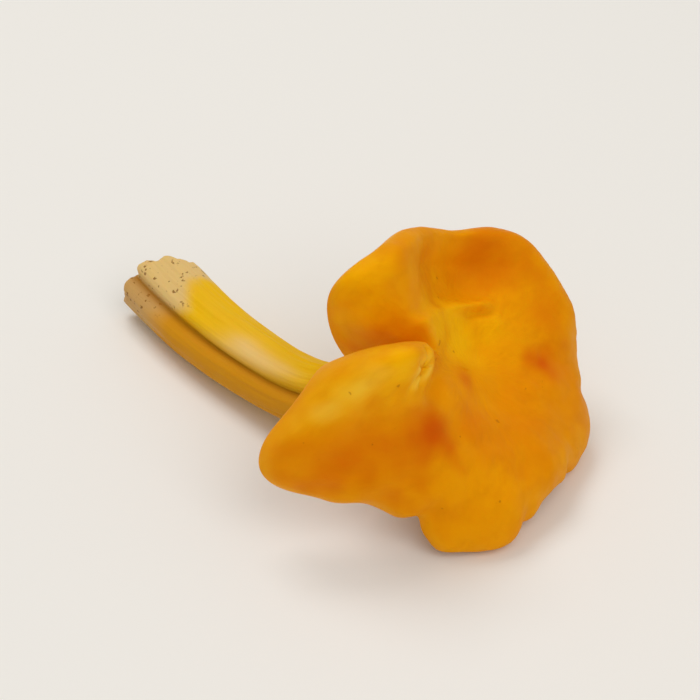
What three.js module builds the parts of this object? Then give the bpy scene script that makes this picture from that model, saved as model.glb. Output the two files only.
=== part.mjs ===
// A chanterelle (Cantharellus cibarius), as picked: one piece of flesh from the cut stem to the wavy cap.
// It lies on its side, on the rim of its cut stem and on two lobes of its cap.
// Millimetres, +Z up, resting on Z = 0. +X runs from the stem's end to the cap.
//
// The mushroom is spun from one outline, then shaped: ridges under the cap, a groove along the stem, lobes
// and a cleft in the cap, hollows in its top, and a stem that bends up to the cap.
// Heights are measured along the axis from the stem's end. Angles round the axis are in degrees: 0 faces
// down, 90 faces +Y, 180 faces up and 270 faces -Y.

import * as THREE from "three";

// The stem.
const STEM_END_RADIUS = 6.2;
const STEM_MIDDLE_RADIUS = 6.3;
const STEM_WAIST_RADIUS = 5.5;
const STEM_OVAL = 0.07; // how much wider it is across the groove than along it, as a share
const NECK_RADIUS = 6.7;
const NECK_HEIGHT = 53;

// Its end is cut on the slant: how far its longest side stands out, where, and how far up the slant shows.
const CUT_SLANT = 3.2;
const CUT_AT = 312;
const CUT_REACH = 14;

// The cap, before its lobes are drawn out.
const CAP_RADIUS = 24;
const CAP_TOP = NECK_HEIGHT + 21;
const CAP_MIDDLE = CAP_TOP - 3;
const MARGIN_THICKNESS = 2.8;
const MARGIN_ROLL = 3.2; // how far the rim turns down below the shoulder

// The cap sits off the middle of the stem, over a stretch of the neck this long each way.
const CAP_SHIFT = 9;
const CAP_SHIFT_AT = 70;
const NECK_REACH = 12;

// The axis: its rise above the floor and its sweep to the side, at the stem's end and at the cap.
const STEM_RISE = 2;
const CAP_RISE = 41;
const STEM_SWEEP = -5;
const CAP_SWEEP = 8;
const BEND_FROM = 28;
const BEND_TO = NECK_HEIGHT + 13;

// How far the mushroom rolls to rest on its lowest three points.
const SETTLE_ROLL = -3.9;

// Round the cap's edge: where each lobe or notch stands, its half-width, how far it reaches out and lifts.
const LOBES = [
  { at: 264, wide: 16, reach: 11, lift: 1 },
  { at: 243, wide: 11, reach: 5, lift: 10 },
  { at: 229, wide: 3.5, reach: -12, lift: 0 },
  { at: 222, wide: 7, reach: -7, lift: -13 },
  { at: 207, wide: 11, reach: 3, lift: -1 },
  { at: 190, wide: 18, reach: 1.5, lift: 2 },
  { at: 150, wide: 22, reach: -0.5, lift: -2 },
  { at: 118, wide: 20, reach: 3.2, lift: 1.2 },
  { at: 88, wide: 14, reach: 1, lift: 0.8 },
  { at: 66, wide: 14, reach: -0.5, lift: -1.3 },
  { at: 36, wide: 20, reach: 3, lift: -2 },
  { at: 0, wide: 14, reach: -1.5, lift: 1.5 },
  { at: 328, wide: 20, reach: 5, lift: -1 },
  { at: 295, wide: 26, reach: 2, lift: -1 },
];
const LOBE_START = 1.5; // how gently the lobes begin outside the neck

// Beside the cleft the edge is rolled up on itself: where, its half-width and how much thicker it is. The
// roll is full from this share of the cap's radius, and ends between these points of the outline past the rim.
const ROLL = { at: 244, wide: 14, thicker: 7 };
const ROLL_FULL = 0.7;
const ROLL_ENDS = { from: -1, to: 2 };

// The roll stands up as a crest of this height and half-width, straight across the cap on its -Y side.
const CREST = { down: -9, wide: 4.5, height: 2.2 };
const CREST_FALLS = { from: -14, to: -9 };
const CREST_EDGE = 0.85; // where it starts to sink into the edge, as a share of the cap's radius

// Hollows in the top: how far down and to the side of the axis each lies, its half-width and its depth.
const HOLLOWS = [
  { down: -12, side: 8, wide: 13, depth: 6.5 },
  { down: -12, side: 13, wide: 5, depth: 2 },
];
const HOLLOW_UNDERSIDE = 0.7; // the share of a hollow that shows on the underside
const HOLLOW_EDGE = 0.75; // where hollows start to fade into the edge, as a share of the cap's radius

// A fold stands over the hollows, on an arc round this centre, gentle inside and steep outside. It rises and
// falls again between these places to the side, and starts between these points of the outline past the rim.
const FOLD = { down: 12, side: -9, radius: 24.5, height: 2.4, insideSlope: 6, outsideSlope: 1.6 };
const FOLD_RISES = { from: -12, to: -8 };
const FOLD_FALLS = { from: 6, to: 14 };
const FOLD_STARTS = { from: 1, to: 3 };

// The near side of the cap bends back towards the stem.
const DROOP_FROM = 8;
const DROOP = 0.022;

// A groove runs down the stem from the cleft.
const GROOVE_AT = 231;
const GROOVE_HALF_WIDTH = 17;
const GROOVE_DEPTH = 1.9;

// Ridges run down the underside and onto the stem. They crowd together at the cleft.
const RIDGES = 36;
const RIDGE_HEIGHT = 0.55;
const RIDGE_CROWDING = 32;

const COLUMNS = RIDGES * 4;
const ROWS_PER_SPAN = 2;

const radians = THREE.MathUtils.degToRad;
const { smoothstep, lerp, euclideanModulo } = THREE.MathUtils;

// The outline that is spun, in three stretches of radius and height.
function outline() {
  const under = CAP_TOP - MARGIN_ROLL - MARGIN_THICKNESS;
  const stem = [
    [0, 0],
    [STEM_END_RADIUS * 0.72, 0.05],
    [STEM_END_RADIUS * 0.95, 0.5],
    [STEM_END_RADIUS, 1.8],
    [STEM_END_RADIUS * 0.98, 8],
    [STEM_MIDDLE_RADIUS, NECK_HEIGHT * 0.45],
    [STEM_MIDDLE_RADIUS * 0.93, NECK_HEIGHT * 0.68],
    [STEM_WAIST_RADIUS, NECK_HEIGHT * 0.86],
    [NECK_RADIUS, NECK_HEIGHT],
  ];
  const underside = [
    [CAP_RADIUS * 0.42, under - 6.6],
    [CAP_RADIUS * 0.6, under - 2.4],
    [CAP_RADIUS * 0.79, under],
    [CAP_RADIUS * 0.92, under - 0.4],
    [CAP_RADIUS * 0.985, under - 0.2],
    [CAP_RADIUS, under + MARGIN_THICKNESS * 0.5],
  ];
  const top = [
    [CAP_RADIUS * 0.985, under + MARGIN_THICKNESS * 1.05],
    [CAP_RADIUS * 0.92, CAP_TOP - MARGIN_ROLL * 0.35],
    [CAP_RADIUS * 0.8, CAP_TOP],
    [CAP_RADIUS * 0.62, lerp(CAP_TOP, CAP_MIDDLE, 0.1)],
    [CAP_RADIUS * 0.42, lerp(CAP_TOP, CAP_MIDDLE, 0.48)],
    [CAP_RADIUS * 0.22, lerp(CAP_TOP, CAP_MIDDLE, 0.88)],
    [0, CAP_MIDDLE],
  ];
  const points = [...stem, ...underside, ...top].map(([radius, height]) => new THREE.Vector2(radius, height));
  return { points, neck: stem.length - 1, rim: stem.length + underside.length - 1 };
}

// How near one angle is to another, from 1 down to 0.
function near(angle, at, wide) {
  const turn = euclideanModulo(angle - at + 180, 360) - 180;
  return Math.exp(-((turn / wide) ** 2));
}

// The directions of the axis at a height: along it, and down and to the side across it.
function aim(height) {
  const bend = smoothstep(height, BEND_FROM, BEND_TO);
  const rise = radians(lerp(STEM_RISE, CAP_RISE, bend));
  const sweep = radians(lerp(STEM_SWEEP, CAP_SWEEP, bend));
  const ahead = new THREE.Vector3(Math.cos(sweep), Math.sin(sweep), 0);
  const up = new THREE.Vector3(0, 0, 1);
  return {
    along: ahead.clone().multiplyScalar(Math.cos(rise)).addScaledVector(up, Math.sin(rise)),
    down: ahead.clone().multiplyScalar(Math.sin(rise)).addScaledVector(up, -Math.cos(rise)),
    side: up.clone().cross(ahead),
  };
}

function axisPoint(height) {
  const steps = 40;
  const point = new THREE.Vector3();
  for (let i = 0; i < steps; i++) {
    point.addScaledVector(aim(((i + 0.5) / steps) * height).along, height / steps);
  }
  return point;
}

// Moves one point of the spun body to its place on the mushroom. It stands so many points past the rim.
function shaped(radius, height, angle, pastRim) {
  let r = radius;
  let h = height;

  // the stem's groove and its oval section fade out under the cap
  const onStem = 1 - smoothstep(height, NECK_HEIGHT * 0.9, NECK_HEIGHT + NECK_REACH);
  const groove = GROOVE_DEPTH * near(angle, GROOVE_AT, GROOVE_HALF_WIDTH) * onStem;
  r -= groove * smoothstep(radius, 0, STEM_WAIST_RADIUS);
  r *= 1 - STEM_OVAL * Math.cos(radians(2 * (angle - GROOVE_AT))) * onStem;

  // the slant of the cut
  const slant = Math.cos(radians(angle - CUT_AT)) * (1 - smoothstep(height, 0, CUT_REACH));
  h -= CUT_SLANT * (radius / STEM_END_RADIUS) * slant;

  // the lobes
  const past = Math.max(0, radius - NECK_RADIUS);
  const reached = past ** 2 / (past + LOBE_START) / (CAP_RADIUS - NECK_RADIUS);
  const spread = smoothstep(radius, NECK_RADIUS, CAP_RADIUS);
  for (const { at, wide, reach, lift } of LOBES) {
    r += reach * near(angle, at, wide) * reached;
    h += lift * near(angle, at, wide) * spread;
  }

  // the roll of the edge, which leaves the top as it was
  const rolled = smoothstep(radius, NECK_RADIUS, CAP_RADIUS * ROLL_FULL);
  const unended = 1 - smoothstep(pastRim, ROLL_ENDS.from, ROLL_ENDS.to);
  h -= ROLL.thicker * near(angle, ROLL.at, ROLL.wide) * rolled * unended;

  // the drooping near side, the hollows, the fold over them and the roll's crest
  let down = r * Math.cos(radians(angle));
  let side = r * Math.sin(radians(angle));
  h -= DROOP * Math.max(0, -side - DROOP_FROM) ** 2;
  const inside = 1 - smoothstep(radius, CAP_RADIUS * HOLLOW_EDGE, CAP_RADIUS);
  const sunk = inside * (pastRim > 0 ? 1 : HOLLOW_UNDERSIDE * spread);
  for (const hollow of HOLLOWS) {
    const away = Math.hypot(down - hollow.down, side - hollow.side);
    h -= hollow.depth * Math.exp(-((away / hollow.wide) ** 2)) * sunk;
  }
  const inward = FOLD.radius - Math.hypot(down - FOLD.down, side - FOLD.side);
  const slope = inward > 0 ? FOLD.insideSlope : FOLD.outsideSlope;
  const risen = smoothstep(side, FOLD_RISES.from, FOLD_RISES.to);
  const fallen = smoothstep(side, FOLD_FALLS.from, FOLD_FALLS.to);
  const folded = risen * (1 - fallen) * smoothstep(pastRim, FOLD_STARTS.from, FOLD_STARTS.to);
  h += FOLD.height * Math.exp(-((inward / slope) ** 2)) * folded;
  const alongRoll = 1 - smoothstep(side, CREST_FALLS.from, CREST_FALLS.to);
  const crested = pastRim > 0 ? alongRoll * (1 - smoothstep(radius, CAP_RADIUS * CREST_EDGE, CAP_RADIUS)) : 0;
  h += CREST.height * Math.exp(-(((down - CREST.down) / CREST.wide) ** 2)) * crested;

  // the cap's shift, and the bend of the axis
  const shift = CAP_SHIFT * smoothstep(height, NECK_HEIGHT - NECK_REACH, NECK_HEIGHT + NECK_REACH);
  down += shift * Math.cos(radians(CAP_SHIFT_AT));
  side += shift * Math.sin(radians(CAP_SHIFT_AT));
  const axis = aim(h);
  return axisPoint(h).addScaledVector(axis.down, down).addScaledVector(axis.side, side);
}

function mushroom() {
  const { points, neck, rim } = outline();
  const spun = new THREE.SplineCurve(points).getPoints((points.length - 1) * ROWS_PER_SPAN);
  const geometry = new THREE.LatheGeometry(spun, COLUMNS);
  const position = geometry.getAttribute("position");
  for (let i = 0; i < position.count; i++) {
    const row = i % spun.length;
    const turn = (Math.floor(i / spun.length) % COLUMNS) / COLUMNS;
    const angle = 360 * turn - RIDGE_CROWDING * Math.sin(radians(360 * turn - GROOVE_AT));

    // the ridges rise on the stem, turn over the neck and fade at the rim
    const span = row / ROWS_PER_SPAN;
    const raised = smoothstep(span, neck - 1.5, neck + 1) * (1 - smoothstep(span, rim - 2, rim - 0.4));
    const ridge = RIDGE_HEIGHT * raised * Math.cos(radians(360 * turn * RIDGES));
    const over = smoothstep(span, neck, neck + 3);
    const radius = spun[row].x + ridge * (1 - over);
    const height = spun[row].y - ridge * over;

    const { x, y, z } = shaped(radius, height, angle, span - rim);
    position.setXYZ(i, x, y, z);
  }
  return geometry;
}

// Turns the mushroom to its rest, then stands it on Z = 0 with the middle of its box on the Z axis.
function settle(geometry) {
  geometry.rotateX(radians(SETTLE_ROLL)).computeBoundingBox();
  const { min, max } = geometry.boundingBox;
  geometry.translate(-(min.x + max.x) / 2, -(min.y + max.y) / 2, -min.z);
  geometry.computeVertexNormals();
  return geometry;
}

const flesh = new THREE.MeshStandardMaterial({ color: 0xe08f14, roughness: 0.62, metalness: 0 });
const chanterelle = new THREE.Mesh(settle(mushroom()), flesh);
chanterelle.name = "chanterelle";

const part = new THREE.Group();
part.add(chanterelle);

export default part;
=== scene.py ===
# A picked chanterelle, lying on its side. It grew as one piece, so it is one piece here: an outline is spun
# round the stem's axis, bent and drawn out into shape, and then its ridges, skin and cut are worked in.

import math

import bmesh
import bpy
import numpy as np
from mathutils import Color, Matrix, Vector, geometry, noise


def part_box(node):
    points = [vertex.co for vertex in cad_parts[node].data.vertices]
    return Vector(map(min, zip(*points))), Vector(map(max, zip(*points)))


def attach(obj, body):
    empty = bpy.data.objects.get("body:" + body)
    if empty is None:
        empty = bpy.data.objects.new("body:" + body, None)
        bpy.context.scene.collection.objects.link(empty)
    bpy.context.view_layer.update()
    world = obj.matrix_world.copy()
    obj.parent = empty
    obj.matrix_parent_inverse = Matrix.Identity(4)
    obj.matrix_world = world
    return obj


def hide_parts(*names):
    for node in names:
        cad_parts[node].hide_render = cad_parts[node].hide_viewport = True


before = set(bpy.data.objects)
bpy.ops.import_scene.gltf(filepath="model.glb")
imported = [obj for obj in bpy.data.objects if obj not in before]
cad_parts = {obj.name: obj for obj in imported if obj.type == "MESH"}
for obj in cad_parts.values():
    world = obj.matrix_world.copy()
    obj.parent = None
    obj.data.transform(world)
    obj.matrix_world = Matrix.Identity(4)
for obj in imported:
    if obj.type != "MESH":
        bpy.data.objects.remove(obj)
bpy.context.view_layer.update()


# ---- The body ----
# The flesh is solid: a stem that widens at the neck into a cap like a shallow funnel. The outline runs from
# the middle of the cut end up the stem, out under the cap, round its rolled rim and back over the top.
# Sizes are in millimetres, and heights are along the stem's axis from the cut end.

STEM_END_RADIUS = 6.2
STEM_MIDDLE_RADIUS = 5.75
STEM_WAIST_RADIUS = 5.3
NECK_RADIUS = 6.7
NECK_HEIGHT = 53
CAP_RADIUS = 24
CAP_TOP = NECK_HEIGHT + 21
CAP_MIDDLE = CAP_TOP - 3
MARGIN_THICKNESS = 2.8
MARGIN_ROLL = 3.2
# the height of the underside near the rim
UNDER = CAP_TOP - MARGIN_ROLL - MARGIN_THICKNESS

# radius, height, and the rows of faces from there to the next point
outline = [
    (0, 0, 10),
    (STEM_END_RADIUS * 0.72, 0.05, 5),
    (STEM_END_RADIUS * 0.95, 0.5, 5),
    (STEM_END_RADIUS, 1.8, 9),
    (STEM_END_RADIUS * 0.98, 8, 13),
    (STEM_MIDDLE_RADIUS, NECK_HEIGHT * 0.45, 11),
    (STEM_MIDDLE_RADIUS * 0.93, NECK_HEIGHT * 0.68, 11),
    (STEM_WAIST_RADIUS, NECK_HEIGHT * 0.86, 11),
    (NECK_RADIUS, NECK_HEIGHT, 17),
    (CAP_RADIUS * 0.42, UNDER - 6.6, 12),
    (CAP_RADIUS * 0.6, UNDER - 2.4, 10),
    (CAP_RADIUS * 0.79, UNDER, 7),
    (CAP_RADIUS * 0.92, UNDER - 0.4, 4),
    (CAP_RADIUS * 0.985, UNDER - 0.2, 4),
    (CAP_RADIUS, UNDER + MARGIN_THICKNESS * 0.5, 4),
    (CAP_RADIUS * 0.985, UNDER + MARGIN_THICKNESS * 1.05, 5),
    (CAP_RADIUS * 0.92, CAP_TOP - MARGIN_ROLL * 0.35, 7),
    (CAP_RADIUS * 0.8, CAP_TOP, 13),
    (CAP_RADIUS * 0.62, CAP_TOP + 0.1 * (CAP_MIDDLE - CAP_TOP), 13),
    (CAP_RADIUS * 0.42, CAP_TOP + 0.48 * (CAP_MIDDLE - CAP_TOP), 12),
    (CAP_RADIUS * 0.22, CAP_TOP + 0.88 * (CAP_MIDDLE - CAP_TOP), 6),
    (0, CAP_MIDDLE, 0),
]
# the outline's points at the neck, at the rim and at its end
NECK = 8
RIM = 14
LAST = len(outline) - 1
COLUMNS = 512

body = bmesh.new()
span_layer = body.verts.layers.float.new("span")
along_layer = body.verts.layers.float.new("along")
knots = [Vector((radius, 0, height)) for radius, height, rows in outline]
chain = []
for i in range(LAST):
    rows = outline[i][2]
    handle = knots[i] + (knots[i + 1] - knots[max(i - 1, 0)]) / 6
    next_handle = knots[i + 1] - (knots[min(i + 2, LAST)] - knots[i]) / 6
    curve = geometry.interpolate_bezier(knots[i], handle, next_handle, knots[i + 1], rows + 1)
    for row, point in enumerate(curve[:rows]):
        chain.append(body.verts.new((max(point.x, 0), 0, point.z)))
        chain[-1][span_layer] = i + row / rows
chain.append(body.verts.new(knots[LAST]))
chain[-1][span_layer] = LAST
for lower, upper in zip(chain, chain[1:]):
    upper[along_layer] = lower[along_layer] + (upper.co - lower.co).length
    body.edges.new((lower, upper))

# a wedge is spun, then doubled until it goes all the way round
WEDGES = 16
bmesh.ops.spin(
    body, geom=body.verts[:] + body.edges[:], cent=(0, 0, 0), axis=(0, 0, 1), dvec=(0, 0, 0),
    angle=math.tau / WEDGES, steps=COLUMNS // WEDGES,
    use_merge=False, use_normal_flip=False, use_duplicate=False,
)
for doubling in range(int(math.log2(WEDGES))):
    copy = bmesh.ops.duplicate(body, geom=body.verts[:] + body.edges[:] + body.faces[:])["geom"]
    round_the_axis = Matrix.Rotation(math.tau / WEDGES * 2 ** doubling, 3, "Z")
    points = [item for item in copy if isinstance(item, bmesh.types.BMVert)]
    bmesh.ops.rotate(body, cent=(0, 0, 0), matrix=round_the_axis, verts=points)
bmesh.ops.remove_doubles(body, verts=body.verts[:], dist=1e-4)
bmesh.ops.recalc_face_normals(body, faces=body.faces[:])
flesh = bpy.data.meshes.new("chanterelle_flesh")
body.to_mesh(flesh)
body.free()
flesh.shade_smooth()


def read(name):
    """A number kept at each point of the flesh."""
    values = np.empty(len(flesh.vertices))
    flesh.attributes[name].data.foreach_get("value", values)
    return values


def keep(name, values):
    """Keeps a number, or a vector, at each point of the flesh for its material."""
    kind, field = ("FLOAT", "value") if values.ndim == 1 else ("FLOAT_VECTOR", "vector")
    flesh.attributes.new(name, kind, "POINT").data.foreach_set(field, values.astype(np.float32).ravel())


spun = np.empty(len(flesh.vertices) * 3)
flesh.vertices.foreach_get("co", spun)
spun = spun.reshape(-1, 3)
span = read("span")
along = read("along")
turn = np.arctan2(spun[:, 1], spun[:, 0]) / math.tau % 1
radius = np.hypot(spun[:, 0], spun[:, 1])
height = spun[:, 2]


# ---- The bend, lobes and cleft ----
# The mushroom grew aslant and split on one side, so the cap sits off the stem's middle and faces up and
# forward. Its edge runs out in lobes, and a cleft runs in to the stem. Angles round the axis are in degrees:
# 0 faces down, 90 faces +Y, 180 faces up and 270 faces -Y.

STEM_OVAL = 0.07
# the cut slants: by how much, towards which angle, and how far up the stem that shifts the flesh
CUT_SLANT = 3.2
CUT_AT = 312
CUT_REACH = 14
# its edge is torn, with coarse and fine bits, and on one side it reaches further out
COARSE_TEARS = 1.1
COARSE_TEAR_SIZE = 1 / 1.7
FINE_TEARS = 0.99
FINE_TEAR_SIZE = 1 / 3.7
TEARS_REACH = 5
LONG_SIDE = 1.87
LONG_SIDE_AT = 205
LONG_SIDE_HALF_WIDTH = 50
# how far the cap's middle lies from the stem's, and towards which angle
CAP_SHIFT = 9
CAP_SHIFT_AT = 70
# how far below and above the neck the stem turns into the cap
NECK_REACH = 12
# the axis rises and sweeps to the side, in degrees, along the stem and under the cap
STEM_RISE = 2
CAP_RISE = 41
STEM_SWEEP = -5
CAP_SWEEP = 8
BEND_FROM = 28
BEND_TO = NECK_HEIGHT + 13
# the last stretch of the stem curves away too
END_REACH = 30
END_RISE = -4
END_SWEEP = -10
# so grown, it turns a little about its length and its breadth before it lies at rest
SETTLE_ROLL = -3.9
SETTLE_PITCH = -0.5
# the cleft, and the groove that runs on from it and parts the stem into two strands
CLEFT_AT = 231
GROOVE_AT = 244
GROOVE_HALF_WIDTH = 15
GROOVE_DEPTH = 1.9
# the cap droops past this far to the side, and its underside follows the hollows of the top in part
DROOP_FROM = 8
DROOP = 0.022
HOLLOW_UNDERSIDE = 0.7
# how gently the lobes begin outside the neck, and by how many degrees columns of faces crowd to the cleft
LOBE_START = 1.5
CROWDING = 24

# round the edge: where a lobe or notch stands, its half-width, how far it reaches out and how far it lifts
lobes = [
    (264, 16, 11, 1), (243, 11, 5, 10), (229, 4.5, -11, 0), (221, 8, -8, -12), (207, 11, 3, -1),
    (190, 18, 1.5, 2), (150, 22, -0.5, -2), (118, 20, 3.2, 1.2), (88, 14, 1, 0.8), (66, 14, -0.5, -1.3),
    (36, 20, 3, -2), (0, 14, -1.5, 1.5), (328, 20, 5, -1), (295, 26, 2, -1),
]
# small nicks and frills of the edge, given the same way
frills = [
    (281, 4, 0.9, 0.3), (304, 3.4, -1.5, 0.3), (316, 5, 0.8, -0.6), (341, 3.6, -1.4, 0),
    (14, 3, -1.2, 0.5), (52, 5, -1, 0), (72, 5, 0.6, -0.4), (82, 13, 0.9, 0), (168, 14, 0.7, 0),
    (213, 6, 1.9, 0), (221, 3, -1, 0.4), (254, 6, 0.7, 0.3),
]
# beside the cleft the edge is rolled up on itself: where, its half-width and how much thicker it is
ROLL_AT = 244
ROLL_WIDE = 14
ROLL_THICKER = 7
# hollows of the top: how far down and to the side each lies, its half-width and its depth
hollows = [(-12, 8, 13, 6.5), (-12, 13, 5, 2)]
# the fold that stands over the hollows: an arc round a centre, its height, and the slopes on its two sides
FOLD_CENTRE = (28.5, -8)
FOLD_RADIUS = 40
FOLD_HEIGHT = 2.4
FOLD_NEAR_SLOPE = 6
FOLD_FAR_SLOPE = 1.6
FOLD_RISES = (-12, -8)
FOLD_FALLS = (9, 15)
# its crest curls over in a thin lip with a slit under it: their heights and half-widths, and where they run
LIP_HEIGHT = 0.7
LIP_WIDE = 0.8
SLIT_DEPTH = 0.7
SLIT_INSIDE = 1.5
LIP_RISES = (1, 5)
LIP_FALLS = (10, 13)
SLIT_RISES = (5, 8)

# the roll stands up as a crest straight across the cap on its -Y side, with a crease beside its end
CREST_HEIGHT = 2.2
CREST_DOWN = -9
CREST_WIDE = 4.5
CREST_FALLS = (-14, -9)
CREST_EDGE = 0.85
CREASE_DEPTH = 1.4
CREASE_DOWN = -3
CREASE_SIDE = -11
CREASE_SLANT = 0.5
CREASE_WIDE = 2.6
CREASE_REACH = 4
# the roll ends in a pucker, where creases run in to a small pit: their place, number, turn, depths and reach
PUCKER = (-7, -16.2)
PUCKER_CREASES = 5
PUCKER_TURN = 0.3
PUCKER_DEPTH = 0.9
PUCKER_REACH = (1.8, 3.8)
PIT_DEPTH = 1.3
PIT_WIDE = 0.9


def smooth(value, low, high):
    """0 below low and 1 above high, with an easy curve between."""
    share = np.clip((value - low) / (high - low), 0, 1)
    return share * share * (3 - 2 * share)


def near(angle, at, wide):
    """1 at an angle round the axis, falling to 0 on both sides of it."""
    return np.exp(-(((angle - at + 180) % 360 - 180) / wide) ** 2)


def wave(places, seed):
    """Smooth random values from about -0.5 to 0.5, which change over about one unit of place."""
    return np.array([noise.noise(place) for place in (places + 17.3 * seed).tolist()])


def angle_at(turn):
    """The angle round the axis. The columns crowd together at the cleft, where the edge turns back."""
    return 360 * turn - CROWDING * np.sin(np.radians(360 * turn - CLEFT_AT))


def aim(height):
    """The axis's directions at a height: along it, and down and to the side across it."""
    bend = smooth(height, BEND_FROM, BEND_TO)
    curve = 1 - smooth(height, 0, END_REACH)
    rise = np.radians(STEM_RISE + (CAP_RISE - STEM_RISE) * bend + END_RISE * curve)
    sweep = np.radians(STEM_SWEEP + (CAP_SWEEP - STEM_SWEEP) * bend + END_SWEEP * curve)
    level = np.zeros_like(rise)
    ahead = np.stack([np.cos(sweep), np.sin(sweep), level], axis=1)
    up = np.array([0, 0, 1])
    side = np.stack([-np.sin(sweep), np.cos(sweep), level], axis=1)
    cos_rise, sin_rise = np.cos(rise)[:, None], np.sin(rise)[:, None]
    return ahead * cos_rise + up * sin_rise, ahead * sin_rise - up * cos_rise, side


AXIS_STEP = 0.25
axis_heights = np.arange(-10, CAP_TOP + 20, AXIS_STEP)
axis_points = np.cumsum(aim(axis_heights + AXIS_STEP / 2)[0], axis=0) * AXIS_STEP
axis_points -= [np.interp(-AXIS_STEP, axis_heights, axis_points[:, i]) for i in range(3)]


def shaped(radius, height, angle):
    """Moves points of the spun body to their places on the mushroom. Also gives them as seen along the axis."""
    r = radius.copy()
    h = height.copy()

    on_stem = 1 - smooth(height, NECK_HEIGHT * 0.9, NECK_HEIGHT + NECK_REACH)
    groove = GROOVE_DEPTH * near(angle, GROOVE_AT, GROOVE_HALF_WIDTH) * on_stem
    r -= groove * smooth(radius, 0, STEM_WAIST_RADIUS)
    r *= 1 - STEM_OVAL * np.cos(np.radians(2 * (angle - CLEFT_AT))) * on_stem
    slant = np.cos(np.radians(angle - CUT_AT)) * (1 - smooth(height, 0, CUT_REACH))
    h -= CUT_SLANT * (radius / STEM_END_RADIUS) * slant
    turned = np.radians(angle)
    round_end = np.stack([np.cos(turned), np.sin(turned), np.zeros_like(turned)], axis=1)
    torn = COARSE_TEARS * wave(round_end / COARSE_TEAR_SIZE, 15)
    torn += FINE_TEARS * wave(round_end / FINE_TEAR_SIZE, 14)
    torn -= LONG_SIDE * near(angle, LONG_SIDE_AT, LONG_SIDE_HALF_WIDTH)
    cut_edge = smooth(radius, STEM_END_RADIUS * 0.5, STEM_END_RADIUS * 0.95)
    h += torn * cut_edge * (1 - smooth(height, 0, TEARS_REACH))

    past = np.maximum(0, radius - NECK_RADIUS)
    reached = past ** 2 / (past + LOBE_START) / (CAP_RADIUS - NECK_RADIUS)
    spread = smooth(radius, NECK_RADIUS, CAP_RADIUS)
    for at, wide, reach, lift in lobes:
        r += reach * near(angle, at, wide) * reached
        h += lift * near(angle, at, wide) * spread
    at_edge = smooth(radius, CAP_RADIUS * 0.72, CAP_RADIUS)
    for at, wide, reach, lift in frills:
        r += reach * near(angle, at, wide) * at_edge
        h += lift * near(angle, at, wide) * at_edge

    rolled = smooth(radius, NECK_RADIUS, CAP_RADIUS * 0.7) * (1 - smooth(span, RIM - 1, RIM + 2))
    h -= ROLL_THICKER * near(angle, ROLL_AT, ROLL_WIDE) * rolled

    down = r * np.cos(np.radians(angle))
    side = r * np.sin(np.radians(angle))
    h -= DROOP * np.maximum(0, -side - DROOP_FROM) ** 2
    inside = 1 - smooth(radius, CAP_RADIUS * 0.75, CAP_RADIUS)
    sunk = inside * np.where(span > RIM, 1, HOLLOW_UNDERSIDE * spread)
    for at_down, at_side, wide, depth in hollows:
        h -= depth * np.exp(-(np.hypot(down - at_down, side - at_side) / wide) ** 2) * sunk

    inward = FOLD_RADIUS - np.hypot(down - FOLD_CENTRE[0], side - FOLD_CENTRE[1])
    slope = np.where(inward > 0, FOLD_NEAR_SLOPE, FOLD_FAR_SLOPE)
    folded = smooth(side, *FOLD_RISES) * (1 - smooth(side, *FOLD_FALLS)) * smooth(span, RIM + 1, RIM + 3)
    h += FOLD_HEIGHT * np.exp(-(inward / slope) ** 2) * folded
    lip = smooth(side, *LIP_RISES) * (1 - smooth(side, *LIP_FALLS)) * folded
    h += LIP_HEIGHT * np.exp(-(inward / LIP_WIDE) ** 2) * lip
    h -= SLIT_DEPTH * np.exp(-((inward - SLIT_INSIDE) / LIP_WIDE) ** 2) * lip * smooth(side, *SLIT_RISES)

    top = np.where(span > RIM, 1, 0)
    along_roll = (1 - smooth(side, *CREST_FALLS)) * (1 - smooth(radius, CAP_RADIUS * CREST_EDGE, CAP_RADIUS))
    h += CREST_HEIGHT * np.exp(-((down - CREST_DOWN) / CREST_WIDE) ** 2) * along_roll * top
    beside_crease = down - CREASE_DOWN + (side - CREASE_SIDE) * CREASE_SLANT
    along_crease = np.exp(-((side - CREASE_SIDE) / CREASE_REACH) ** 2)
    h -= CREASE_DEPTH * np.exp(-(beside_crease / CREASE_WIDE) ** 2) * along_crease * top

    from_pit = np.hypot(down - PUCKER[0], side - PUCKER[1])
    round_pit = np.arctan2(side - PUCKER[1], down - PUCKER[0])
    creases = np.cos(PUCKER_CREASES / 2 * (round_pit - PUCKER_TURN)) ** 4
    creases *= smooth(from_pit, 0, PIT_WIDE) * (1 - smooth(from_pit, *PUCKER_REACH))
    h -= (PUCKER_DEPTH * creases + PIT_DEPTH * np.exp(-(from_pit / PIT_WIDE) ** 2)) * top

    flat = np.stack([down, side], axis=1)
    shift = CAP_SHIFT * smooth(height, NECK_HEIGHT - NECK_REACH, NECK_HEIGHT + NECK_REACH)
    down += shift * math.cos(math.radians(CAP_SHIFT_AT))
    side += shift * math.sin(math.radians(CAP_SHIFT_AT))
    point = np.stack([np.interp(h, axis_heights, axis_points[:, i]) for i in range(3)], axis=1)
    ahead, downward, sideways = aim(h)
    return point + downward * down[:, None] + sideways * side[:, None], flat


angle = angle_at(turn)
# places by the grain of the flesh: round the axis, then how far along the outline
grain = np.stack([np.cos(np.radians(angle)), np.sin(np.radians(angle)), along], axis=1)
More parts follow.
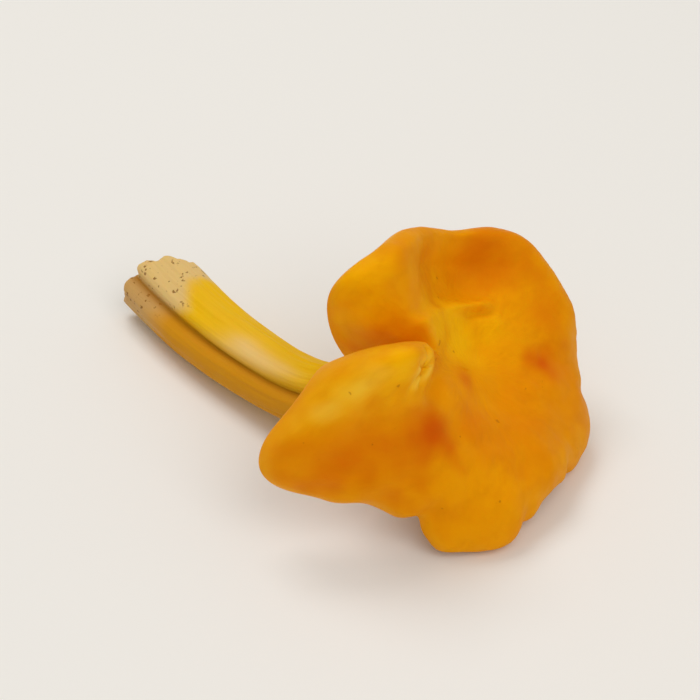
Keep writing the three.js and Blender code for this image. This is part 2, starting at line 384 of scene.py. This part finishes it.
# above the neck the columns wander, as the ridges do: by how much, in degrees, and how often
WANDER = 5
WANDER_WAVES = (2.4, 2.4, 1 / 9)
wander = WANDER * wave(grain * WANDER_WAVES, 1) * smooth(span, NECK - 1, NECK + 2)
angle += wander
placed, flat = shaped(radius, height, angle)
beside = shaped(radius, height, angle_at(turn + 1 / COLUMNS) + wander)[0]
column_width = np.linalg.norm(beside - placed, axis=1)
flesh.vertices.foreach_set("co", placed.ravel())
flesh.update()
out = np.empty(len(flesh.vertices) * 3)
flesh.vertex_normals.foreach_get("vector", out)
out = out.reshape(-1, 3)


# ---- The ridges ----
# Under the cap a chanterelle has no gills but blunt ridges of the flesh itself. They start on the stem, fork
# as the cap widens, so that they stay about as far apart, and low veins join them across.

RIDGES = 32
RIDGE_HALF_WIDTH = 0.42
RIDGE_HEIGHT = 1.0
# shares of a ridge's height: how far the flesh sinks between ridges, and how high they start on the stem
RIDGE_FOOT = 0.4
STEM_RIDGES = 0.35
# a ridge forks, and forks again, where the gap between ridges grows past these widths
FORK_FIRST = (1.5, 2.3)
FORK_AGAIN = (3.0, 4.2)
# the veins' height next to the ridges', how often they come, and how thin they are
VEIN_HEIGHT = 0.4
VEIN_WAVES = (16, 16, 0.42)
VEIN_HALF_WIDTH = 0.055
# by the outline's points, where the ridges start, how soon they are whole, and where they end under the rim
RIDGES_FROM = 6.3
RIDGES_RISE = 2.0
RIDGES_END = (RIM - 2.6, RIM - 0.9)
# they are low on the thin flap at the cleft
FLAP_AT = 221
FLAP_HALF_WIDTH = 10
FLAP_LOWER = 0.85

chance = np.random.default_rng(7)
ridge = np.floor(turn * RIDGES).astype(int) % RIDGES
across = turn * RIDGES - np.floor(turn * RIDGES)
ridge_gap = column_width * COLUMNS / RIDGES
later = chance.uniform(-0.35, 0.5, (4, RIDGES))
forks_right = chance.random((3, RIDGES)) < 0.5


def ridge_at(middle):
    """The blunt section of a ridge: 1 on its crest and 0 away from it."""
    return np.exp(-((across - middle) * ridge_gap / RIDGE_HALF_WIDTH) ** 2)


first = np.where(forks_right[0][ridge], 0.0, 1.0)
opened = smooth(ridge_gap, FORK_FIRST[0] + later[0][ridge], FORK_FIRST[1] + later[0][ridge])
middle = first + (0.5 - first) * opened
crest = np.maximum(ridge_at(0), ridge_at(1))
crest = np.maximum(crest, ridge_at(middle))
for i, own, left, right in ((1, 0.25, 0.0, middle), (2, 0.75, middle, 1.0)):
    start = np.where(forks_right[i][ridge], left, right)
    opened = smooth(ridge_gap, FORK_AGAIN[0] + 2 * later[i][ridge], FORK_AGAIN[1] + 2 * later[i][ridge])
    crest = np.maximum(crest, ridge_at(start + (own - start) * opened))

veins = np.exp(-(wave(grain * VEIN_WAVES, 2) / VEIN_HALF_WIDTH) ** 2)
crest = np.maximum(crest, VEIN_HEIGHT * veins)
ridge_start = RIDGES_FROM + chance.uniform(-1.0, 0.7, RIDGES + 1)
ridge_start[RIDGES] = ridge_start[0]
start = ridge_start[ridge] + (ridge_start[ridge + 1] - ridge_start[ridge]) * across
ridged = smooth(span, start, start + RIDGES_RISE) * (1 - smooth(span, *RIDGES_END))
ridged *= 1 - FLAP_LOWER * near(angle, FLAP_AT, FLAP_HALF_WIDTH)
risen = STEM_RIDGES + (1 - STEM_RIDGES) * smooth(span, NECK - 0.5, NECK + 2)
relief = RIDGE_HEIGHT * (crest - RIDGE_FOOT) * ridged * risen


# ---- The skin and the cut ----
# The top is smooth and a little uneven, like fine kid. The stem has fibres along it, and its end was cut with
# a knife, which left a pale, torn face with a ragged edge.

# the height, length and seed of the skin's waves and of the cut face's
skin_waves = [(0.7, 9, 3), (0.28, 3.6, 4), (0.07, 1.2, 5)]
cut_waves = [(0.45, 2.2, 9), (0.3, 0.9, 10)]
# the height of the stem's fibres, how often they come round it, their length and their seed
stem_fibres = [(0.45, 2, 22, 6), (0.16, 5, 16, 7), (0.06, 11, 9, 8)]

on_top = smooth(span, RIM - 0.5, RIM + 1)
on_stem = 1 - smooth(span, NECK - 1.5, NECK + 0.5)
on_cut = 1 - smooth(span, 1.4, 2.2)
for depth, length, seed in skin_waves:
    relief += on_top * depth * wave(placed / length, seed)
for depth, often, length, seed in stem_fibres:
    relief += (on_stem - on_cut) * depth * wave(grain * (often, often, 1 / length), seed) * smooth(span, 1, 2.5)
for depth, length, seed in cut_waves:
    relief += on_cut * depth * wave(placed / length, seed)

# the relief fades out in the cleft and in the pucker, where the flesh is pressed together
TIGHT_HALF_WIDTH = 8
PUCKER_TIGHT = 4
from_pucker = np.hypot(flat[:, 0] - PUCKER[0], flat[:, 1] - PUCKER[1])
tight = np.maximum(near(angle, CLEFT_AT - 1, TIGHT_HALF_WIDTH), np.exp(-(from_pucker / PUCKER_TIGHT) ** 2))
relief *= 1 - tight * smooth(span, NECK, NECK + 1)
placed += out * relief[:, None]

# it is laid where the solid lies, with its lowest points on the surface
pitch = Matrix.Rotation(math.radians(SETTLE_PITCH), 3, "Y")
roll = Matrix.Rotation(math.radians(SETTLE_ROLL), 3, "X")
MM = 0.001
placed = placed @ np.array(pitch @ roll).T * MM
low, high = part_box("chanterelle")
middle = (placed.min(axis=0) + placed.max(axis=0)) / 2
lowest = placed[:, 2].min()
placed += np.array([(low.x + high.x) / 2 - middle[0], (low.y + high.y) / 2 - middle[1], low.z - lowest])
flesh.vertices.foreach_set("co", placed.ravel())
flesh.update()

# the cut end is pale, up to a ragged line that lies further along on one side
PALE_ENDS = (11, 16)
PALE_RAGGED = 5
PALE_WAVES = (1.6, 1.6, 1 / 9)
PALE_FURTHER = 5
PALE_FURTHER_AT = 205
PALE_FURTHER_HALF_WIDTH = 30
# a cream patch on the upper strand
CREAM_AT = 212
CREAM_HALF_WIDTH = 20
CREAM_ALONG = 31.5
CREAM_HALF_LENGTH = 7
# the angles between which painted shade makes the lower strand darker and browner, and the half-width of the
# painted shadow line in the groove
SHADED_LOWER_FROM = (GROOVE_AT, GROOVE_AT + 8)
SHADED_LOWER_TO = (320, 345)
GROOVE_SHADE = 8
# the half-width of the rim's own colour, in gaps between the outline's points
EDGE_HALF_WIDTH = 0.8

ragged_along = along + PALE_RAGGED * wave(grain * PALE_WAVES, 12)
ragged_along -= PALE_FURTHER * near(angle, PALE_FURTHER_AT, PALE_FURTHER_HALF_WIDTH)
below_cap = 1 - smooth(span, NECK - 1, NECK + 1)
keep("grain", grain)
keep("crest", crest * ridged)
keep("ridged", ridged)
keep("stem", on_stem)
keep("cut", on_cut)
keep("pale", 1 - smooth(ragged_along, *PALE_ENDS))
cream_along = np.exp(-((ragged_along - CREAM_ALONG) / CREAM_HALF_LENGTH) ** 2)
keep("cream", near(angle, CREAM_AT, CREAM_HALF_WIDTH) * cream_along * on_stem)
keep("lower", smooth(angle, *SHADED_LOWER_FROM) * (1 - smooth(angle, *SHADED_LOWER_TO)) * below_cap)
# a painted shadow line in the groove
keep("groove", near(angle, GROOVE_AT + 2, GROOVE_SHADE) * below_cap)
keep("edge", np.exp(-((span - RIM) / EDGE_HALF_WIDTH) ** 2))

# places on the top, as seen along the axis: how far down and to the side each lies, its half-width and strength
# real bruises, with painted shade in the pucker's pit and low on the near lobe
bruises_and_shade = [
    (6.0, 12.3, 2.9, 1), (3.1, -16.4, 4.0, 1), (0.4, -2.6, 2.2, 0.7), (-7, -16.2, 0.7, 0.7),
    (-13.5, -18.5, 2.5, 0.4), (0, -29, 3, 0.4), (0, -24, 3, 0.3),
]
# painted shade: darker orange spots where the top lies in shade, in the hollow, low on the near lobe and along
# its lower side
painted_shades = [
    (-14.5, 15.5, 4.5, 1), (-14, 3, 4, 0.4), (-10, 17, 3.5, 1), (-13, -10, 2.5, 0.35), (-1, -29, 6, 1),
    (-6, -32, 4, 0.8), (3, -21, 5, 1), (7, -8, 6, 0.7), (8, 4, 6, 0.6), (10, 13, 6, 0.5), (1, 18, 4, 0.5),
]
# yellower spots, partly the flesh's own yellow and partly painted light where the top faces the lamps: the
# plateau, the roll's crest and round the pucker
yellow_and_painted_lights = [
    (-9, -3, 4, 1), (-5, 2, 5, 1), (-3, 8, 3, 0.7), (-6.5, -16, 3.5, 1), (-10, -22, 4, 1), (-10.3, -27, 3, 1),
    (-23, -12, 5, 0.6), (-18, -13, 4, 0.8), (-7.5, 2.5, 4.5, 1), (-9.3, -30, 2.2, 0.7),
]
# painted highlights: pale patches round the pucker and along the near lobe's crest
painted_highlights = [
    (-7.2, -17.8, 1.1, 1), (-5.7, -14.4, 0.9, 0.8), (-5.3, -16.8, 0.8, 0.6), (-8.2, -15.4, 0.7, 0.5),
    (-10.1, -26.9, 1.8, 0.5), (-9.5, -29.6, 1.4, 0.4),
]
SPOT_RAGGED = 0.6
SPOT_WAVE = 3.2
spot_edges = 1 + SPOT_RAGGED * wave(placed / MM / SPOT_WAVE, 11)


def spots(places):
    """1 in the middle of each place and 0 away from them, with uneven edges."""
    share = np.zeros(len(placed))
    for at_down, at_side, wide, strength in places:
        away = np.hypot(flat[:, 0] - at_down, flat[:, 1] - at_side) * spot_edges
        share = np.maximum(share, strength * np.exp(-(away / wide) ** 2))
    return share * on_top


keep("bruise_and_shade", spots(bruises_and_shade))
keep("painted_shade", spots(painted_shades))
keep("yellow_and_painted_light", spots(yellow_and_painted_lights))
keep("painted_highlight", spots(painted_highlights))


class Wire:
    """A shader socket. Python's operators on it add Math nodes, and node() adds any other."""

    def __init__(self, tree, socket=None):
        self.tree = tree
        self.socket = socket

    def node(self, kind, inputs=(), output=0, **settings):
        """A new node: its settings first, then its sockets, by name or number. Returns one of its outputs."""
        node = self.tree.nodes.new(kind)
        for name, value in settings.items():
            setattr(node, name, value)
        for key, value in dict(inputs).items():
            if isinstance(value, Wire):
                self.tree.links.new(value.socket, node.inputs[key])
            else:
                node.inputs[key].default_value = value
        return Wire(self.tree, node.outputs[output])

    def math(self, operation, first, second):
        """A Math node on two numbers or wires."""
        return self.node("ShaderNodeMath", {0: first, 1: second}, operation=operation)

    def __add__(self, other):
        return self.math("ADD", self, other)

    def __mul__(self, other):
        return self.math("MULTIPLY", self, other)

    def __sub__(self, other):
        return self.math("SUBTRACT", self, other)

    def __rsub__(self, other):
        return self.math("SUBTRACT", other, self)

    __radd__ = __add__
    __rmul__ = __mul__


def colour(code):
    """A colour of paint from its code, such as e5a200."""
    parts = [int(code[i:i + 2], 16) / 255 for i in (0, 2, 4)]
    return (*Color(parts).from_srgb_to_scene_linear(), 1)


skin = bpy.data.materials.new("chanterelle_skin")
skin.use_nodes = True
wires = Wire(skin.node_tree)
coordinates = wires.node("ShaderNodeTexCoord", output="Object")


def kept(name, output="Fac"):
    """A number, or with output="Vector" a vector, that was kept at the flesh's points."""
    return wires.node("ShaderNodeAttribute", output=output, attribute_name=name)


def mix(share, first, second):
    """A colour that goes from the first to the second as the share goes from 0 to 1."""
    sockets = {"Factor": share, 6: first, 7: second}
    return wires.node("ShaderNodeMix", sockets, output=2, data_type="RGBA")


def mottle(places, size, low, high, detail=3.0):
    """Soft patches from 0 to 1. A lower low or high makes more of the surface 1."""
    value = wires.node("ShaderNodeTexNoise", {"Vector": places, "Scale": 1 / size, "Detail": detail})
    levels = {0: value, 1: low, 2: high, 3: 0.0, 4: 1.0}
    return wires.node("ShaderNodeMapRange", levels, interpolation_type="SMOOTHSTEP")


def stretched(scale):
    """Places by the grain of the flesh, so that patches on them are drawn out along it."""
    return wires.node("ShaderNodeMapping", {"Vector": kept("grain", "Vector"), "Scale": scale})


patches = mottle(coordinates, 0.011, 0.36, 0.66)
clouds = mottle(coordinates, 0.0042, 0.3, 0.72, 5.0)
streaks = mottle(stretched((2.6, 2.6, 0.03)), 1.0, 0.36, 0.66, 4.0)
fine_streaks = mottle(stretched((9, 9, 0.09)), 1.0, 0.34, 0.7, 3.0)
fibrils = mottle(stretched((14, 14, 0.7)), 1.0, 0.3, 0.72, 5.0)
flecks = mottle(coordinates, 0.0021, 0.72, 0.76, 2.0)
specks = mottle(coordinates, 0.0011, 0.63, 0.7, 2.0)

# the cap: egg yellow and orange in patches, with bruises, fine fibrils and a few flecks, and painted shade,
# painted light and painted highlights on its top
cap = mix(patches, colour("ee9c00"), colour("e48a00"))
cap = mix(clouds * 0.3, cap, colour("f0a000"))
cap = mix(kept("edge") * 0.6, cap, colour("f2a606"))
# painted shade
cap = mix(kept("painted_shade") * 0.6, cap, colour("dc7000"))
# partly the flesh's own yellow, partly painted light
cap = mix(kept("yellow_and_painted_light") * 0.9, cap, colour("fcbc00"))
# painted highlights
cap = mix(kept("painted_highlight") * 0.8, cap, colour("ffd450"))
# bruises, and painted shade
cap = mix(kept("bruise_and_shade") * 0.8, cap, colour("d24a00"))
cap = mix(fibrils * clouds * 0.22, cap, colour("c86e00"))
cap = mix(flecks * 0.5, cap, colour("a85208"))
under = mix(kept("crest"), colour("cf7c08"), colour("eeb43a"))
cap = mix(kept("ridged"), cap, under)

# the stem: yellow, with painted shade that makes its lower strand darker and browner, and pale with brown
# specks towards the cut
stem = mix(streaks * 0.6, colour("f0bc04"), colour("ecba22"))
stem = mix(fine_streaks * 0.1, stem, colour("d09618"))
# painted shade on the lower strand
stem = mix(kept("lower") * 0.8, stem, colour("cb8418"))
stem = mix(kept("cream") * 0.8, stem, colour("efcb88"))
stem = mix(kept("pale") * 0.85, stem, colour("e0c084"))
# painted shade on the lower strand's pale end
stem = mix(kept("pale") * kept("lower") * 0.5, stem, colour("b07a34"))
stem = mix(specks * kept("pale") * 0.8, stem, colour("7c4a16"))

body_colour = mix(kept("stem"), cap, stem)
# painted shadow along the groove
body_colour = mix(kept("groove") * 0.85, body_colour, colour("a66a0c"))
body_colour = mix(kept("cut"), body_colour, mix(clouds, colour("d8c08a"), colour("b58a48")))

shader = skin.node_tree.nodes["Principled BSDF"]
links = skin.node_tree.links
links.new(body_colour.socket, shader.inputs["Base Color"])
roughness = 0.5 + 0.18 * clouds
links.new(roughness.socket, shader.inputs["Roughness"])
pores = wires.node("ShaderNodeTexNoise", {"Vector": coordinates, "Scale": 2200.0, "Detail": 4.0})
bump_height = pores * 0.5 + fine_streaks * kept("stem") + fibrils * 0.4 * (1 - kept("stem"))
bump = wires.node("ShaderNodeBump", {"Strength": 0.25, "Distance": 0.0003, "Height": bump_height})
links.new(bump.socket, shader.inputs["Normal"])
shader.inputs["Subsurface Weight"].default_value = 0.25
shader.inputs["Subsurface Radius"].default_value = (1.0, 0.5, 0.12)
shader.inputs["Subsurface Scale"].default_value = 0.0015
shader.inputs["Specular IOR Level"].default_value = 0.14
shader.inputs["Specular Tint"].default_value = colour("ffd27a")

chanterelle = bpy.data.objects.new("chanterelle_flesh", flesh)
bpy.context.collection.objects.link(chanterelle)
flesh.materials.append(skin)
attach(chanterelle, "root")
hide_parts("chanterelle")


# ---- The floor ----
# A plain pale surface that the mushroom lies on.

floor_mesh = bmesh.new()
bmesh.ops.create_grid(floor_mesh, x_segments=1, y_segments=1, size=3)
floor_data = bpy.data.meshes.new("floor")
floor_mesh.to_mesh(floor_data)
floor_mesh.free()
floor = bpy.data.objects.new("floor", floor_data)
bpy.context.collection.objects.link(floor)
paper = bpy.data.materials.new("pale_paper")
paper.use_nodes = True
paper_shader = paper.node_tree.nodes["Principled BSDF"]
paper_shader.inputs["Base Color"].default_value = colour("f2f0ec")
paper_shader.inputs["Roughness"].default_value = 0.9
floor_data.materials.append(paper)


# ---- The light and the camera ----
# Soft studio light: pale walls all round, a lamp high up on the stem's side and a larger one on the cap's side.

def direction(azimuth, elevation):
    """From the mushroom out. Azimuth 0 is on the -Y side and 90 on the +X side."""
    a, e = math.radians(azimuth), math.radians(elevation)
    return Vector((math.sin(a) * math.cos(e), -math.cos(a) * math.cos(e), math.sin(e)))


def lamp(name, azimuth, elevation, distance, size, power):
    """A square lamp that faces the mushroom."""
    data = bpy.data.lights.new(name, "AREA")
    data.size = size
    data.energy = power
    lamp_head = bpy.data.objects.new(name, data)
    away = direction(azimuth, elevation)
    lamp_head.location = away * distance
    lamp_head.rotation_euler = away.to_track_quat("Z", "Y").to_euler()
    bpy.context.collection.objects.link(lamp_head)


lamp("key", -100, 66, 0.8, 0.4, 2.0)
lamp("fill", 70, 50, 0.9, 0.6, 2.2)

world = bpy.data.worlds.new("studio")
world.use_nodes = True
walls = world.node_tree.nodes["Background"]
walls.inputs["Color"].default_value = colour("f5f1ea")
walls.inputs["Strength"].default_value = 0.54
bpy.context.scene.world = world
bpy.context.scene.view_settings.view_transform = "Standard"

VIEW_AZIMUTH = 43
VIEW_ELEVATION = 39
VIEW_DISTANCE = 0.71
VIEW_LENS = 225
camera_data = bpy.data.cameras.new("camera")
camera_data.lens = VIEW_LENS
camera = bpy.data.objects.new("camera", camera_data)
back = direction(VIEW_AZIMUTH, VIEW_ELEVATION)
target = Vector((0.004, 0.0, 0.016))
camera.location = target + back * VIEW_DISTANCE
camera.rotation_euler = back.to_track_quat("Z", "Y").to_euler()
bpy.context.collection.objects.link(camera)
bpy.context.scene.camera = camera
